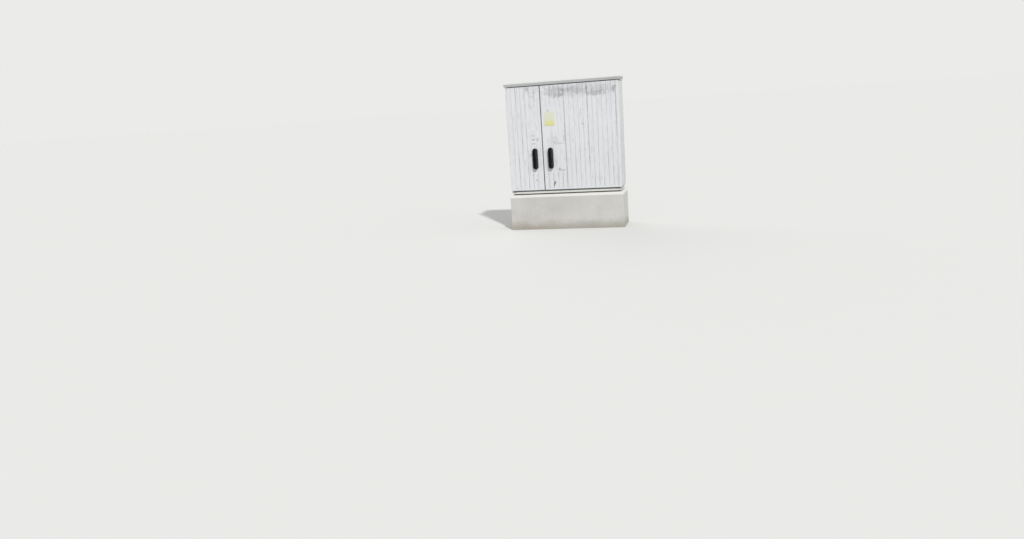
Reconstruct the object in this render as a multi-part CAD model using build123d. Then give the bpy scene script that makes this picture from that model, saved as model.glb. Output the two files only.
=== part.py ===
from build123d import *
from math import acos, cos, pi, radians, sin, tan
import os

# Storeys of the cabinet, from the ground up
plinth_height = 350
foot_height = 13
band_height = 18
neck_height = 14
door_height = 1015
vent_height = 6
roof_height = 34

# Outline of the body and what stands out from it
body_width = 1115
body_depth = 320
plinth_step = 12.5
plinth_wall = 80
plinth_chamfer_height = 25
plinth_chamfer_depth = 15
roof_overhang = 8
roof_round = 10
roof_ceiling = 14
roof_skirt = 5
roof_boss_radius = 9

# Moulded sheet: skin, flanges and vertical flutes
wall = 4
flange_width = 38
lip_width = 36
edge_round = 4.5
rear_rim = 30
flute_pitch = 45.6
flute_width = 10
flute_floor = 5
flute_depth = 3.5
flute_border = 12
flute_margin = 30
rib_growth = 2

# Doors
door_depth = 32
door_inset = 3
door_gap = 5
left_bay = 347
seam = 9
left_first_flute = 52
right_first_flute = 30
left_smooth_width = 130
right_smooth_width = 200
smooth_low = 162
smooth_high = 800

# Hinges: a pin at the head and the foot of each door
hinge_in = 12
hinge_back = 14
pin_radius = 5
pin_reach = 20
collar_radius = 9
bush_radius = 8
bush_flange_radius = 11
bush_flange = 2
hinge_boss = 26
bracket_plate = 5
bracket_width = 50

# Frames above and below the doors
frame_inset = 20
channel_inset = 11
channel_wall = 4
channel_top_width = 31
channel_foot_width = 59
foot_inset = 25
upstand = 5
neck_width = 20
top_plate = 5
top_plate_width = 40
vent_slot = 30
vent_slot_height = 3.5
post_half = 42
post_depth = 40
seal_offset = 26
seal_width = 8
seal_clearance = 0.3

# Swing handle
handle_offset = 78
handle_above_door_foot = 312
handle_length = 206
handle_width = 52
base_thickness = 12
lever_gap = 0.6
lever_thickness = 16
lever_margin = 3
lever_round = 4
lever_swing = 25
base_chamfer = 2
finger_scoop_width = 42
finger_scoop_height = 17
finger_scoop_drop = 161
finger_scoop_depth = 6
key_window_width = 25
key_window_height = 44
key_window_drop = 6.5
tongue_width = 16
tongue_round = 7
lever_pin_radius = 3
head_radius = 17
head_thickness = 4.6
spindle_radius = 9
spindle_square = 11
journal_radius = 5

# Profile cylinder below the spindle
key_drop = 95
barrel_radius = 8.5
rotor_radius = 6.5
lug_width = 10
lug_drop = 19.5
cylinder_tail = 28
cam_thickness = 4
cam_reach = 13
key_slot_width = 2.2
key_slot_height = 8
key_slot_depth = 24

# Rack and pinion rod lock inside the door
gear_module = 1.5
gear_teeth = 18
gear_width = 8
gear_depth = 18
pressure_angle = radians(20)
backlash = 0.16
rod_width = 9
rod_end_inset = 0.5
rod_taper = 2.5
keeper_clearance = 3
case_half_width = 31
case_half_height = 40
case_wall = 3
guide_half_width = 12
guide_height = 14
guide_depth = 30
upper_guides = (90, 380)
lower_guides = (-60, -200)

# Switchgear carried on the rear wall
ledge_depth = 10
ledge_height = 30
ledge_margin = 60
rail_inset = 80
rail_width = 40
rail_depth = 25
rail_wall = 2.5
holder_depth = 30
holder_width = 50
holder_height = 60
holder_round = 6
busbar_height = 40
busbar_thickness = 10
busbar_first = 320
busbar_pitch = 185
strip_count = 4
strip_pitch = 110
strip_first = 75
strip_width = 98
strip_depth = 40
strip_margin = 95
strip_pad = 12
jaw_depth = 28
jaw_wall = 3
jaw_height = 22
jaw_offset = 50
blade_thickness = 6
blade_gap = 0.6
strip_barriers = 4
link_depth = 48
link_half_width = 24
link_half_height = 33
link_plate = 2.5
lug_reach = 8
lug_stem = 4
lug_head = 14
neutral_height = 165
neutral_bar_height = 30
cable_rail_height = 85
clamp_bore = 19
clamp_half_height = 10
clamp_stand = 12
plate_width = 260
plate_thickness = 2.5
plate_round = 8
din_rail_height = 700
din_rail_length = 240
din_rail_depth = 7.5
din_sheet = 1.5
din_crown = 13.5
din_brim = 17.5
device_gap = 10
switch_width = 72
switch_height = 85
switch_body_depth = 44
switch_nose_depth = 20
switch_poles = 4
switch_round = 3
toggle_inset = 10
toggle_radius = 6.5
toggle_reach = 20
toggle_swing = 70
axle_radius = 2.5
axle_reach = 6
terminal_count = 6
terminal_pitch = 15
terminal_half_height = 25
terminal_shoulder = 3
housing_slit = 0.8
slit_depth = 1.5
funnel_offset = 17
funnel_radius = 4

# Fasteners
anchor_inset = 56
anchor_radius = 6
anchor_head_radius = 9
anchor_washer = 1.5
anchor_length = 60
socket_radius = 11
roof_screw_inset = 50
roof_screw_radius = 3
handle_screw_radius = 2.5
handle_screw_spread = 44
handle_screw_depth = 7.5

# Clearances
running_fit = 0.05
sliding_fit = 0.4
panel_gap = 0.2

# Levels and places that follow from the sizes above
half = body_width / 2
band_z = plinth_height + foot_height
neck_z = band_z + band_height
door_z = neck_z + neck_height
door_top = door_z + door_height
roof_z = door_top + vent_height
front_frame = door_depth + door_gap
sill_top = door_z + lip_width
head_bottom = door_top - lip_width
seam_x = left_bay - half
pitch_radius = gear_module * gear_teeth / 2
tooth_pitch = pi * gear_module
rod_travel = pitch_radius * pi / 2
rod_inner = pitch_radius + 1.25 * gear_module
pivot_z = door_z + handle_above_door_foot + handle_length / 2 - handle_width / 2
handle_middle = handle_width / 2 - handle_length / 2
pin_depth = -(base_thickness + lever_gap + lever_thickness / 2)
handle_reach = base_thickness + lever_gap + lever_thickness
ledge_face = body_depth - wall - ledge_depth
rail_face = ledge_face - rail_depth
holder_face = rail_face - holder_depth
strip_back = holder_face - strip_pad
strip_face = strip_back - strip_depth
jaw_face = strip_face - jaw_depth
ledge_low = door_z + ledge_margin
ledge_high = door_top - ledge_margin
busbar_levels = [door_z + busbar_first + step * busbar_pitch for step in range(3)]
strip_places = [seam_x + rail_inset + strip_first + step * strip_pitch for step in range(strip_count)]
origin_shift = (handle_reach - body_depth - plinth_step) / 2

parts = {}


def block(x0, x1, y0, y1, z0, z1):
    """A box between two corners."""
    centre = Pos((x0 + x1) / 2, (y0 + y1) / 2, (z0 + z1) / 2)
    return centre * Box(abs(x1 - x0), abs(y1 - y0), abs(z1 - z0))


def upright(x, y, low, high, radius):
    """A vertical cylinder between two heights."""
    return Pos(x, y, (low + high) / 2) * Cylinder(radius, high - low)


def crossbar(x0, x1, y, z, radius):
    """A cylinder that lies along x."""
    return Pos((x0 + x1) / 2, y, z) * Rot(0, 90, 0) * Cylinder(radius, abs(x1 - x0))


def slab(outline, near, far):
    """An outline drawn in x and z, thick from one depth to another."""
    plane = Plane(origin=(0, far, 0), x_dir=(1, 0, 0), z_dir=(0, -1, 0))
    return extrude(plane * outline, far - near)


def four_corners(inset):
    """Places at the body's four corners, set in from its outline."""
    return [(x, y) for x in (inset - half, half - inset) for y in (inset, body_depth - inset)]


# Moulded panels: a fluted skin with its rim turned back

def flute(x, low, high, grow, face):
    """A groove with sloping flanks and ends, as a tapered bar with its mouth at one depth."""
    middle = (low + high) / 2
    slope = flute_width - flute_floor
    sections = []
    for depth, width, length in (
        (face, flute_width, high - low),
        (face + flute_depth, flute_floor, high - low - slope),
    ):
        plane = Plane(origin=(x, depth, middle), x_dir=(1, 0, 0), z_dir=(0, -1, 0))
        sections.append(plane * Rectangle(width + 2 * grow, length + 2 * grow))
    return loft([section.face() for section in sections])


def fluted_tray(width, height, depth, flutes, lip=0):
    """A panel that stands on z = 0, centred on x = 0, with its outer face on y = 0."""
    shell = block(-width / 2, width / 2, 0, depth, 0, height)
    front = shell.faces().sort_by(Axis.Y)[0]
    shell = fillet(front.edges() + shell.edges().filter_by(Axis.Y), edge_round)
    shell -= block(wall - width / 2, width / 2 - wall, wall, depth, wall, height - wall)
    if lip:
        frame = block(wall - width / 2, width / 2 - wall, depth - wall, depth, wall, height - wall)
        frame -= block(lip - width / 2, width / 2 - lip, depth - wall, depth, lip, height - lip)
        shell += frame
    shell += [flute(x, low, high, rib_growth, wall) for x, low, high in flutes]
    return shell - [flute(x, low, high, 0, 0) for x, low, high in flutes]


def pitched_places(width):
    """Places one flute pitch apart, centred on a width."""
    count = int((width - 2 * flute_margin) / flute_pitch) + 1
    first = -(count - 1) * flute_pitch / 2
    return [first + step * flute_pitch for step in range(count)]


def centred_flutes(width, height):
    """Full-height grooves, centred on the panel."""
    return [(x, flute_border, height - flute_border) for x in pitched_places(width)]


def door_flutes(width, first, smooth_width, hand):
    """Grooves from the hinge edge on; those that meet the smooth field stop above and below it."""
    grooves = []
    count = int((width - first - flute_margin) / flute_pitch) + 1
    for step in range(count):
        reach = first + step * flute_pitch
        x = hand * (width / 2 - reach)
        if width - reach < smooth_width:
            grooves.append((x, flute_border, smooth_low))
            grooves.append((x, smooth_high, door_height - flute_border))
        else:
            grooves.append((x, flute_border, door_height - flute_border))
    return grooves


# Concrete plinth with cast-in sockets

def make_plinth():
    reach = half + plinth_step
    back = body_depth + plinth_step
    plinth = block(-reach, reach, -plinth_step, back, 0, plinth_height)
    top = plinth.faces().sort_by(Axis.Z)[-1]
    plinth = chamfer(top.edges(), plinth_chamfer_depth, plinth_chamfer_height, reference=top)
    plinth -= block(
        plinth_wall - reach,
        reach - plinth_wall,
        plinth_wall - plinth_step,
        back - plinth_wall,
        0,
        plinth_height,
    )
    low = plinth_height - anchor_length
    hole = socket_radius + sliding_fit / 4
    return plinth - [upright(x, y, low, plinth_height, hole) for x, y in four_corners(anchor_inset)]


def make_sockets():
    low = plinth_height - anchor_length
    sockets = []
    for x, y in four_corners(anchor_inset):
        sleeve = upright(x, y, low, plinth_height, socket_radius)
        sleeve -= upright(x, y, low + wall, plinth_height, anchor_radius + sliding_fit / 4)
        sockets.append(sleeve)
    return Compound(sockets)


def make_anchor_bolts():
    bolts = []
    seat = band_z + channel_wall
    for x, y in four_corners(anchor_inset):
        shank = upright(x, y, plinth_height - anchor_length / 2, seat, anchor_radius)
        washer = upright(x, y, seat, seat + anchor_washer, anchor_head_radius)
        head = extrude(RegularPolygon(anchor_head_radius, 6), anchor_radius)
        bolts.append(shank + washer + Pos(x, y, seat + anchor_washer) * head)
    return Compound(bolts)


# Base: rails that form a channel band between a set-back foot and a set-back neck

def rails(outer_inset, inner_inset, low, high, front=None):
    """Four butted rails along the body's outline; a given front rail stands at its own depth."""
    if front is None:
        front = outer_inset
    reach = half - outer_inset
    clear = half - inner_inset
    start = front + inner_inset - outer_inset
    back = body_depth - outer_inset
    rear = body_depth - inner_inset
    return [
        block(-reach, reach, front, start, low, high),
        block(-reach, reach, rear, back, low, high),
        block(-reach, -clear, start, rear, low, high),
        block(clear, reach, start, rear, low, high),
    ]


def rod_places():
    """The sideways places of the lock rods at the head and at the foot of the doors."""
    middle = rod_inner + rod_width / 2
    heads = []
    feet = []
    for hand in (-1, 1):
        axis_x = seam_x + hand * handle_offset
        heads.append(axis_x + hand * middle)
        feet.append(axis_x - hand * middle)
    return heads, feet


def keeper_rail(places, reach, front, back, low, high):
    """A front rail in lengths that leave a keeper between them at each of two rods."""
    near = gear_depth - keeper_clearance
    far = gear_depth + gear_width + keeper_clearance
    slot = rod_width / 2 + keeper_clearance
    left, right = sorted(places)
    lengths = [
        block(-reach, left - slot, front, back, low, high),
        block(right + slot, reach, front, back, low, high),
        block(left + slot, right - slot, near, far, low, high),
        block(left - slot, right + slot, far, back, low, high),
    ]
    if front < near:
        lengths.append(block(left - slot, right + slot, front, near, low, high))
    return lengths


def make_base_frame():
    """Foot, floor flange, web and top flange, with the neck and the doors' sill on them."""
    web = channel_inset + channel_wall
    top = channel_inset + channel_top_width
    inner = channel_inset + channel_foot_width
    bars = []
    bore = anchor_radius + sliding_fit
    bores = [upright(x, y, plinth_height, neck_z, bore) for x, y in four_corners(anchor_inset)]
    for foot, flange in zip(
        rails(foot_inset, inner, plinth_height, band_z),
        rails(channel_inset, inner, band_z, band_z + channel_wall),
    ):
        bars.append(foot + flange - bores)
    bars += rails(channel_inset, web, band_z + channel_wall, neck_z)
    bars += keeper_rail(rod_places()[1], half - web, web, top, neck_z - channel_wall, neck_z)
    bars += rails(web, top, neck_z - channel_wall, neck_z)[1:]
    bars += rails(frame_inset, frame_inset + neck_width, neck_z, door_z, front_frame)[1:]
    reach = half - frame_inset
    sill = block(-reach, reach, front_frame, front_frame + upstand, neck_z, door_z)
    reach = half - flange_width - panel_gap
    sill += block(-reach, reach, front_frame, front_frame + upstand, door_z, sill_top)
    return Compound(bars + [sill])


# Top frame: a vented collar of rails, and flat rails on it that reach out over the doors

def vent_slots():
    """Slots one flute pitch apart through all four sides of the collar."""
    low = door_top + (vent_height - vent_slot_height) / 2
    high = low + vent_slot_height
    reach = vent_slot / 2
    middle = (front_frame + body_depth) / 2
    slots = []
    for x in pitched_places(body_width - 2 * frame_inset):
        slots.append(block(x - reach, x + reach, front_frame, body_depth, low, high))
    for y in pitched_places(body_depth - front_frame - frame_inset):
        slots.append(block(-half, half, middle + y - reach, middle + y + reach, low, high))
    return slots


def make_top_frame():
    plate_top = roof_z + top_plate
    inner = frame_inset + top_plate_width
    collar = rails(frame_inset, frame_inset + upstand, door_top, roof_z, front_frame)
    slots = vent_slots()
    bars = [side - slots for side in collar]
    reach = half - flange_width - panel_gap
    bars[0] += block(-reach, reach, front_frame, front_frame + upstand, head_bottom, door_top)
    flat = keeper_rail(rod_places()[0], half - door_inset, door_inset, inner, roof_z, plate_top)
    flat += rails(frame_inset, inner, roof_z, plate_top)[1:]
    bore = roof_screw_radius + sliding_fit
    holes = [upright(x, y, roof_z, plate_top, bore) for x, y in four_corners(roof_screw_inset)]
    for hand in (-1, 1):
        holes.append(upright(hinge_x(hand), hinge_back, roof_z, plate_top, pin_radius))
    return Compound(bars + [bar - holes for bar in flat])


# Roof: a shallow hood on four bosses

def make_roof():
    reach = half + roof_overhang
    back = body_depth + roof_overhang
    top = roof_z + roof_height
    roof = block(-reach, reach, -roof_overhang, back, roof_z, top)
    roof = fillet(roof.edges().filter_by(Axis.Z), roof_round)
    roof = fillet(roof.faces().sort_by(Axis.Z)[-1].edges(), roof_round)
    ceiling = top - roof_ceiling
    inner = reach - roof_skirt
    roof -= block(-inner, inner, roof_skirt - roof_overhang, back - roof_skirt, roof_z, ceiling)
    for x, y in four_corners(roof_screw_inset):
        roof += upright(x, y, roof_z + top_plate, ceiling, roof_boss_radius)
    bore = roof_screw_radius + running_fit
    return roof - [
        upright(x, y, roof_z + top_plate, ceiling + wall, bore)
        for x, y in four_corners(roof_screw_inset)
    ]


def make_roof_screws():
    screws = []
    for x, y in four_corners(roof_screw_inset):
        shank = upright(x, y, roof_z, roof_z + roof_height - roof_ceiling, roof_screw_radius)
        head = upright(x, y, roof_z - roof_screw_radius, roof_z, 2 * roof_screw_radius)
        screws.append(shank + head)
    return Compound(screws)


# Body panels, post and partition

def make_side_wall(hand):
    width = body_depth - rear_rim - front_frame
    panel = fluted_tray(width, door_height, flange_width, centred_flutes(width, door_height))
    turned = Rot(0, 0, 90 * hand) * panel
    return Pos(hand * half, front_frame + width / 2, door_z) * turned


def make_rear_wall():
    panel = fluted_tray(
        body_width, door_height, rear_rim, centred_flutes(body_width, door_height), lip_width
    )
    panel = Pos(0, body_depth, door_z) * Rot(0, 0, 180) * panel
    for level in (ledge_low, ledge_high):
        panel += block(
            wall - half,
            half - wall,
            ledge_face,
            body_depth - wall,
            level - ledge_height / 2,
            level + ledge_height / 2,
        )
    return panel


def make_centre_post():
    left = seam_x - post_half
    right = seam_x + post_half
    back = front_frame + post_depth
    post = block(left, right, front_frame, back, sill_top, head_bottom)
    return post - block(
        left + wall, right - wall, front_frame + wall, back, sill_top, head_bottom
    )


def make_partition():
    back = body_depth - wall - flute_depth - panel_gap
    sheet = block(
        seam_x - wall / 2, seam_x + wall / 2, front_frame + wall, back, sill_top, head_bottom
    )
    for level in (ledge_low, ledge_high):
        notch = ledge_height / 2 + panel_gap
        sheet -= block(
            seam_x - wall,
            seam_x + wall,
            ledge_face - panel_gap,
            back,
            level - notch,
            level + notch,
        )
    return sheet


# Doors with their hinges and seals; hand is -1 on the left and 1 on the right

def door_edges(hand):
    """The door's two side edges, from left to right."""
    if hand < 0:
        return door_inset - half, seam_x - seam / 2
    return seam_x + seam / 2, half - door_inset


def hinge_x(hand):
    return hand * (half - door_inset - hinge_in)


def bush_sleeves(hand, radius):
    """The parts of the two bushes that sit in the door's head and foot."""
    x = hinge_x(hand)
    foot = upright(x, hinge_back, door_z, door_z + hinge_boss, radius)
    head = upright(x, hinge_back, door_top - hinge_boss, door_top, radius)
    return foot, head


def make_door(hand):
    left, right = door_edges(hand)
    width = right - left
    first = left_first_flute if hand < 0 else right_first_flute
    smooth_width = left_smooth_width if hand < 0 else right_smooth_width
    grooves = door_flutes(width, first, smooth_width, hand)
    door = fluted_tray(width, door_height, door_depth, grooves, lip_width)
    door = Pos((left + right) / 2, 0, door_z) * door
    outer = half - door_inset
    x0 = hand * (outer - edge_round)
    x1 = hand * (outer - 2 * hinge_in)
    boss_back = hinge_back + bush_flange_radius
    door += block(x0, x1, wall / 2, boss_back, door_z + wall / 2, door_z + hinge_boss)
    door += block(x0, x1, wall / 2, boss_back, door_top - hinge_boss, door_top - wall / 2)
    door -= bush_sleeves(hand, bush_radius + sliding_fit / 4)
    axis_x = seam_x + hand * handle_offset
    slot_x = rod_width / 2 + sliding_fit
    for offset, low, high in ((hand, door_top - wall, door_top), (-hand, door_z, door_z + wall)):
        x = axis_x + offset * (rod_inner + rod_width / 2)
        door -= block(
            x - slot_x,
            x + slot_x,
            gear_depth - sliding_fit,
            gear_depth + gear_width + sliding_fit,
            low,
            high,
        )
    pierced = Circle(spindle_radius + sliding_fit) + Pos(0, -key_drop) * profile_outline(sliding_fit)
    for z in handle_screw_levels():
        pierced += Pos(0, z) * Circle(handle_screw_radius + sliding_fit)
    return door - Pos(axis_x, 0, pivot_z) * slab(pierced, 0, wall)


def make_bushes(hand):
    x = hinge_x(hand)
    foot, head = bush_sleeves(hand, bush_radius)
    foot += upright(x, hinge_back, door_z - bush_flange, door_z, bush_flange_radius)
    head += upright(x, hinge_back, door_top, door_top + bush_flange, bush_flange_radius)
    bore = upright(x, hinge_back, door_z - wall, door_top + wall, pin_radius + running_fit)
    return Compound([foot - bore, head - bore])


def make_hinge_pins():
    pins = []
    for hand in (-1, 1):
        x = hinge_x(hand)
        foot = upright(x, hinge_back, neck_z, door_z + pin_reach, pin_radius)
        seat = neck_z + bracket_plate
        collar_top = door_z - bush_flange - 2 * running_fit
        foot += upright(x, hinge_back, seat, collar_top, collar_radius)
        head = upright(x, hinge_back, door_top - pin_reach, roof_z + top_plate, pin_radius)
        cap_top = roof_z + top_plate + pin_radius
        head += upright(x, hinge_back, roof_z + top_plate, cap_top, collar_radius)
        pins += [foot, head]
    return Compound(pins)


def make_hinge_brackets():
    brackets = []
    outer = half - door_inset - panel_gap
    for hand in (-1, 1):
        x0 = hand * outer
        x1 = hand * (outer - bracket_width)
        front = hinge_back - collar_radius
        back = front_frame - panel_gap
        plate = block(x0, x1, front, back, neck_z, neck_z + bracket_plate)
        plate = fillet(plate.edges().filter_by(Axis.Z), bracket_plate)
        brackets.append(plate - upright(hinge_x(hand), hinge_back, neck_z, door_z, pin_radius))
    return Compound(brackets)


def make_seal(hand):
    left, right = door_edges(hand)
    near = seal_offset
    far = seal_offset + seal_width
    front = door_depth + seal_clearance
    seal = block(left + near, right - near, front, front_frame, door_z + near, door_top - near)
    return seal - block(left + far, right - far, front, front_frame, door_z + far, door_top - far)


# Swing handle, drawn about its spindle axis for the right door and mirrored for the left

def place_handle(shape, hand):
    if hand < 0:
        shape = mirror(shape, about=Plane.YZ)
    return Pos(seam_x + hand * handle_offset, 0, pivot_z) * shape


def handle_screw_levels():
    """Heights of the base's two screws, either side of the profile cylinder."""
    return (handle_screw_spread - key_drop, -handle_screw_spread - key_drop)


def profile_outline(clearance):
    """The outline of a profile cylinder about its key axis."""
    lug = Pos(0, -lug_drop / 2) * Rectangle(lug_width + 2 * clearance, lug_drop)
    end = Pos(0, -lug_drop) * Circle(lug_width / 2 + clearance)
    return Circle(barrel_radius + clearance) + lug + end


def make_handle_base():
    outline = Pos(0, handle_middle) * SlotOverall(handle_length, handle_width, rotation=90)
    base = slab(outline, -base_thickness, 0)
    base = chamfer(base.faces().sort_by(Axis.Y)[0].edges(), base_chamfer)
    base -= slab(Circle(spindle_radius + running_fit), -base_thickness, 0)
    base -= slab(Pos(0, -key_drop) * profile_outline(sliding_fit / 4), -base_thickness, 0)
    recess = Circle(head_radius + sliding_fit)
    base -= slab(recess, -base_thickness, 2 * running_fit + head_thickness - base_thickness)
    scoop = Pos(0, -finger_scoop_drop) * SlotOverall(finger_scoop_width, finger_scoop_height)
    base -= slab(scoop, -base_thickness, finger_scoop_depth - base_thickness)
    bore = Circle(handle_screw_radius + running_fit)
    for z in handle_screw_levels():
        base -= slab(Pos(0, z) * bore, -handle_screw_depth - running_fit, 0)
    return base


def make_handle_screws():
    screws = []
    for z in handle_screw_levels():
        shank = slab(Pos(0, z) * Circle(handle_screw_radius), -handle_screw_depth, wall)
        head = slab(Pos(0, z) * Circle(2 * handle_screw_radius), wall, wall + handle_screw_radius)
        screws.append(shank + head)
    return Compound(screws)


def make_lever():
    outline = SlotOverall(
        handle_length - 2 * lever_margin, handle_width - 2 * lever_margin, rotation=90
    )
    back = -base_thickness - lever_gap
    lever = slab(Pos(0, handle_middle) * outline, -handle_reach, back)
    lever = fillet(lever.faces().sort_by(Axis.Y)[0].edges(), lever_round)
    well = tongue_width / 2 + sliding_fit
    key_window = SlotOverall(key_window_height, key_window_width, rotation=90)
    lever -= slab(Rectangle(2 * well, 2 * well), -handle_reach, back)
    lever -= slab(Pos(0, -key_drop - key_window_drop) * key_window, -handle_reach, back)
    lever -= block(-well, well, pin_depth - sliding_fit, back, well, handle_width)
    heel = lever_thickness / 2 + sliding_fit
    nose = block(-handle_width, handle_width, heel, 3 * heel, -handle_width, handle_width)
    lever -= Pos(0, pin_depth, 0) * Rot(lever_swing, 0, 0) * nose
    bore = lever_pin_radius + running_fit
    return lever - crossbar(-handle_width, handle_width, pin_depth, 0, bore)


def make_lever_pin():
    reach = handle_width / 2 - lever_margin - sliding_fit
    return crossbar(-reach, reach, pin_depth, 0, lever_pin_radius)


def make_spindle():
    tongue = block(
        -tongue_width / 2, tongue_width / 2, pin_depth, -base_thickness, -tongue_round, tongue_round
    )
    tongue += crossbar(-tongue_width / 2, tongue_width / 2, pin_depth, 0, tongue_round)
    head_back = head_thickness - base_thickness
    spindle = tongue + slab(Circle(head_radius), -base_thickness, head_back)
    spindle += slab(Circle(spindle_radius), head_back, gear_depth)
    spindle += slab(Rectangle(spindle_square, spindle_square), gear_depth, gear_depth + gear_width)
    spindle += slab(Circle(journal_radius), gear_depth + gear_width, door_depth + case_wall / 2)
    bore = lever_pin_radius + running_fit
    return spindle - crossbar(-handle_width, handle_width, pin_depth, 0, bore)


def make_lock_cylinder():
    body = slab(profile_outline(0), -base_thickness, cylinder_tail)
    body -= slab(Circle(rotor_radius + running_fit), -base_thickness, cylinder_tail)
    return Pos(0, 0, -key_drop) * body


def make_rotor():
    cam_front = cylinder_tail + 2 * running_fit
    rotor = slab(Circle(rotor_radius), -base_thickness, cam_front)
    slot = Rectangle(key_slot_width, key_slot_height)
    rotor -= slab(slot, -base_thickness, key_slot_depth - base_thickness)
    cam = Circle(rotor_radius) + Pos(0, -cam_reach / 2) * Rectangle(rotor_radius, cam_reach)
    rotor += slab(cam, cam_front, cam_front + cam_thickness)
    return Pos(0, 0, -key_drop) * rotor


# Rack and pinion rod lock

def tooth_half_angle(radius):
    """Half the angle that an involute tooth covers at a radius."""
    def involute(angle):
        return tan(angle) - angle
    base_radius = pitch_radius * cos(pressure_angle)
    at_pitch = (tooth_pitch / 4 - backlash / 2) / pitch_radius + involute(pressure_angle)
    return at_pitch - involute(acos(min(1, base_radius / radius)))


def make_pinion():
    root = pitch_radius - 1.25 * gear_module
    tip = pitch_radius + gear_module
    base_radius = pitch_radius * cos(pressure_angle)
    flank = (root, base_radius, (base_radius + tip) / 2, tip)
    outline = []
    for tooth in range(gear_teeth):
        middle = 2 * pi * tooth / gear_teeth
        for side, radii in ((-1, flank), (1, flank[::-1])):
            for radius in radii:
                angle = middle + side * tooth_half_angle(radius)
                outline.append((radius * cos(angle), radius * sin(angle)))
    wheel = make_face(Polyline(*outline, close=True))
    hole = Rectangle(spindle_square + 2 * running_fit, spindle_square + 2 * running_fit)
    return slab(wheel - hole, gear_depth, gear_depth + gear_width)


def make_rod(low, high, rack_low, rack_high):
    """A rod along z on the hinge side of the pinion, toothed at one end and tapered at the other."""
    rod = Pos(rod_inner + rod_width / 2, (low + high) / 2) * Rectangle(rod_width, high - low)
    ends = rod.vertices().sort_by(Axis.Y)
    rod = chamfer(ends[:2] if low < rack_low else ends[-2:], rod_taper)
    tip_x = pitch_radius - gear_module
    sunk = rod_width / 4
    root_half = tooth_pitch / 4 - backlash / 2 + (rod_inner + sunk - pitch_radius) * tan(pressure_angle)
    tip_half = tooth_pitch / 4 - backlash / 2 - gear_module * tan(pressure_angle)
    for step in range(int(rack_low / tooth_pitch), int(rack_high / tooth_pitch)):
        z = (step + 0.5) * tooth_pitch
        corners = [
            (rod_inner + sunk, z - root_half),
            (rod_inner + sunk, z + root_half),
            (tip_x, z + tip_half),
            (tip_x, z - tip_half),
        ]
        rod += make_face(Polyline(*corners, close=True))
    return slab(rod, gear_depth, gear_depth + gear_width)


def make_upper_rod():
    low = -rod_travel - pitch_radius
    return make_rod(low, door_top - rod_end_inset - pivot_z, low, pitch_radius)


def make_lower_rod():
    high = rod_travel + pitch_radius
    rod = make_rod(door_z + rod_end_inset - pivot_z, high, -pitch_radius, high)
    return mirror(rod, about=Plane.YZ)


def make_lock_case():
    inner = case_half_width - case_wall
    case = block(
        -case_half_width, case_half_width, wall, door_depth, -case_half_height, case_half_height
    )
    case -= block(
        -inner, inner, wall + case_wall, door_depth - case_wall, -case_half_height, case_half_height
    )
    case -= slab(Circle(spindle_radius + running_fit), wall, wall + case_wall)
    bridge = journal_radius + case_wall
    for z0, z1 in ((bridge, case_half_height - 2 * case_wall), (2 * case_wall - case_half_height, -bridge)):
        case -= block(case_wall - inner, inner - case_wall, door_depth - case_wall, door_depth, z0, z1)
    return case - slab(Circle(journal_radius + running_fit), door_depth - case_wall, door_depth)


def make_rod_guides():
    """Two slotted blocks on each rod, screwed to the door's inner face."""
    middle = rod_inner + rod_width / 2
    slot_x = rod_width / 2 + sliding_fit
    guides = []
    slot_front = gear_depth - sliding_fit
    slot_back = gear_depth + gear_width + sliding_fit
    for x, levels in ((middle, upper_guides), (-middle, lower_guides)):
        for z in levels:
            top = z + guide_height
            guide = block(x - guide_half_width, x + guide_half_width, wall, guide_depth, z, top)
            guides.append(guide - block(x - slot_x, x + slot_x, slot_front, slot_back, z, top))
    return Compound(guides)


# Distribution gear in the right bay

def rail_places():
    return seam_x + rail_inset, half - rail_inset


def channel(x0, x1, z0, z1, front, back, thickness):
    """A bar with its open side to the front, hollowed between two turned-in lips."""
    bar = block(x0, x1, front, back, z0, z1)
    if x1 - x0 > z1 - z0:
        bar -= block(x0, x1, front + thickness, back - thickness, z0 + thickness, z1 - thickness)
        slot = (z1 - z0) / 4
        return bar - block(x0, x1, front, front + thickness, z0 + slot, z1 - slot)
    bar -= block(x0 + thickness, x1 - thickness, front + thickness, back - thickness, z0, z1)
    slot = (x1 - x0) / 4
    return bar - block(x0 + slot, x1 - slot, front, front + thickness, z0, z1)


def make_mounting_rails():
    """Two upright rails on the rear wall's ledges."""
    low = ledge_low - ledge_height / 2
    high = ledge_high + ledge_height / 2
    reach = rail_width / 2
    uprights = []
    for x in rail_places():
        uprights.append(channel(x - reach, x + reach, low, high, rail_face, ledge_face, rail_wall))
    return Compound(uprights)


def make_cable_rail():
    left, right = rail_places()
    reach = rail_width / 2
    z = door_z + cable_rail_height
    front = rail_face - reach
    return channel(left - reach, right + reach, z - reach, z + reach, front, rail_face, rail_wall)


def make_busbar_holders():
    holders = []
    side = holder_width / 2
    rise = holder_height / 2
    notch = busbar_height / 2 + panel_gap / 2
    notch_back = holder_face + busbar_thickness
    for x in rail_places():
        for z in busbar_levels:
            holder = block(x - side, x + side, holder_face, rail_face, z - rise, z + rise)
            holder = fillet(holder.edges().filter_by(Axis.Y), holder_round)
            holder -= block(x - side, x + side, holder_face, notch_back, z - notch, z + notch)
            holders.append(holder)
    return Compound(holders)


def make_busbars():
    """Three bars on the holders."""
    left, right = rail_places()
    bars = []
    for z in busbar_levels:
        bar = block(
            left - rail_width,
            right + rail_width,
            holder_face,
            holder_face + busbar_thickness,
            z - busbar_height / 2,
            z + busbar_height / 2,
        )
        bolt_hole = slab(Circle(busbar_thickness / 2), holder_face, holder_face + busbar_thickness)
        bars.append(bar - [Pos(x, 0, z) * bolt_hole for x in strip_places])
    return Compound(bars)


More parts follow.
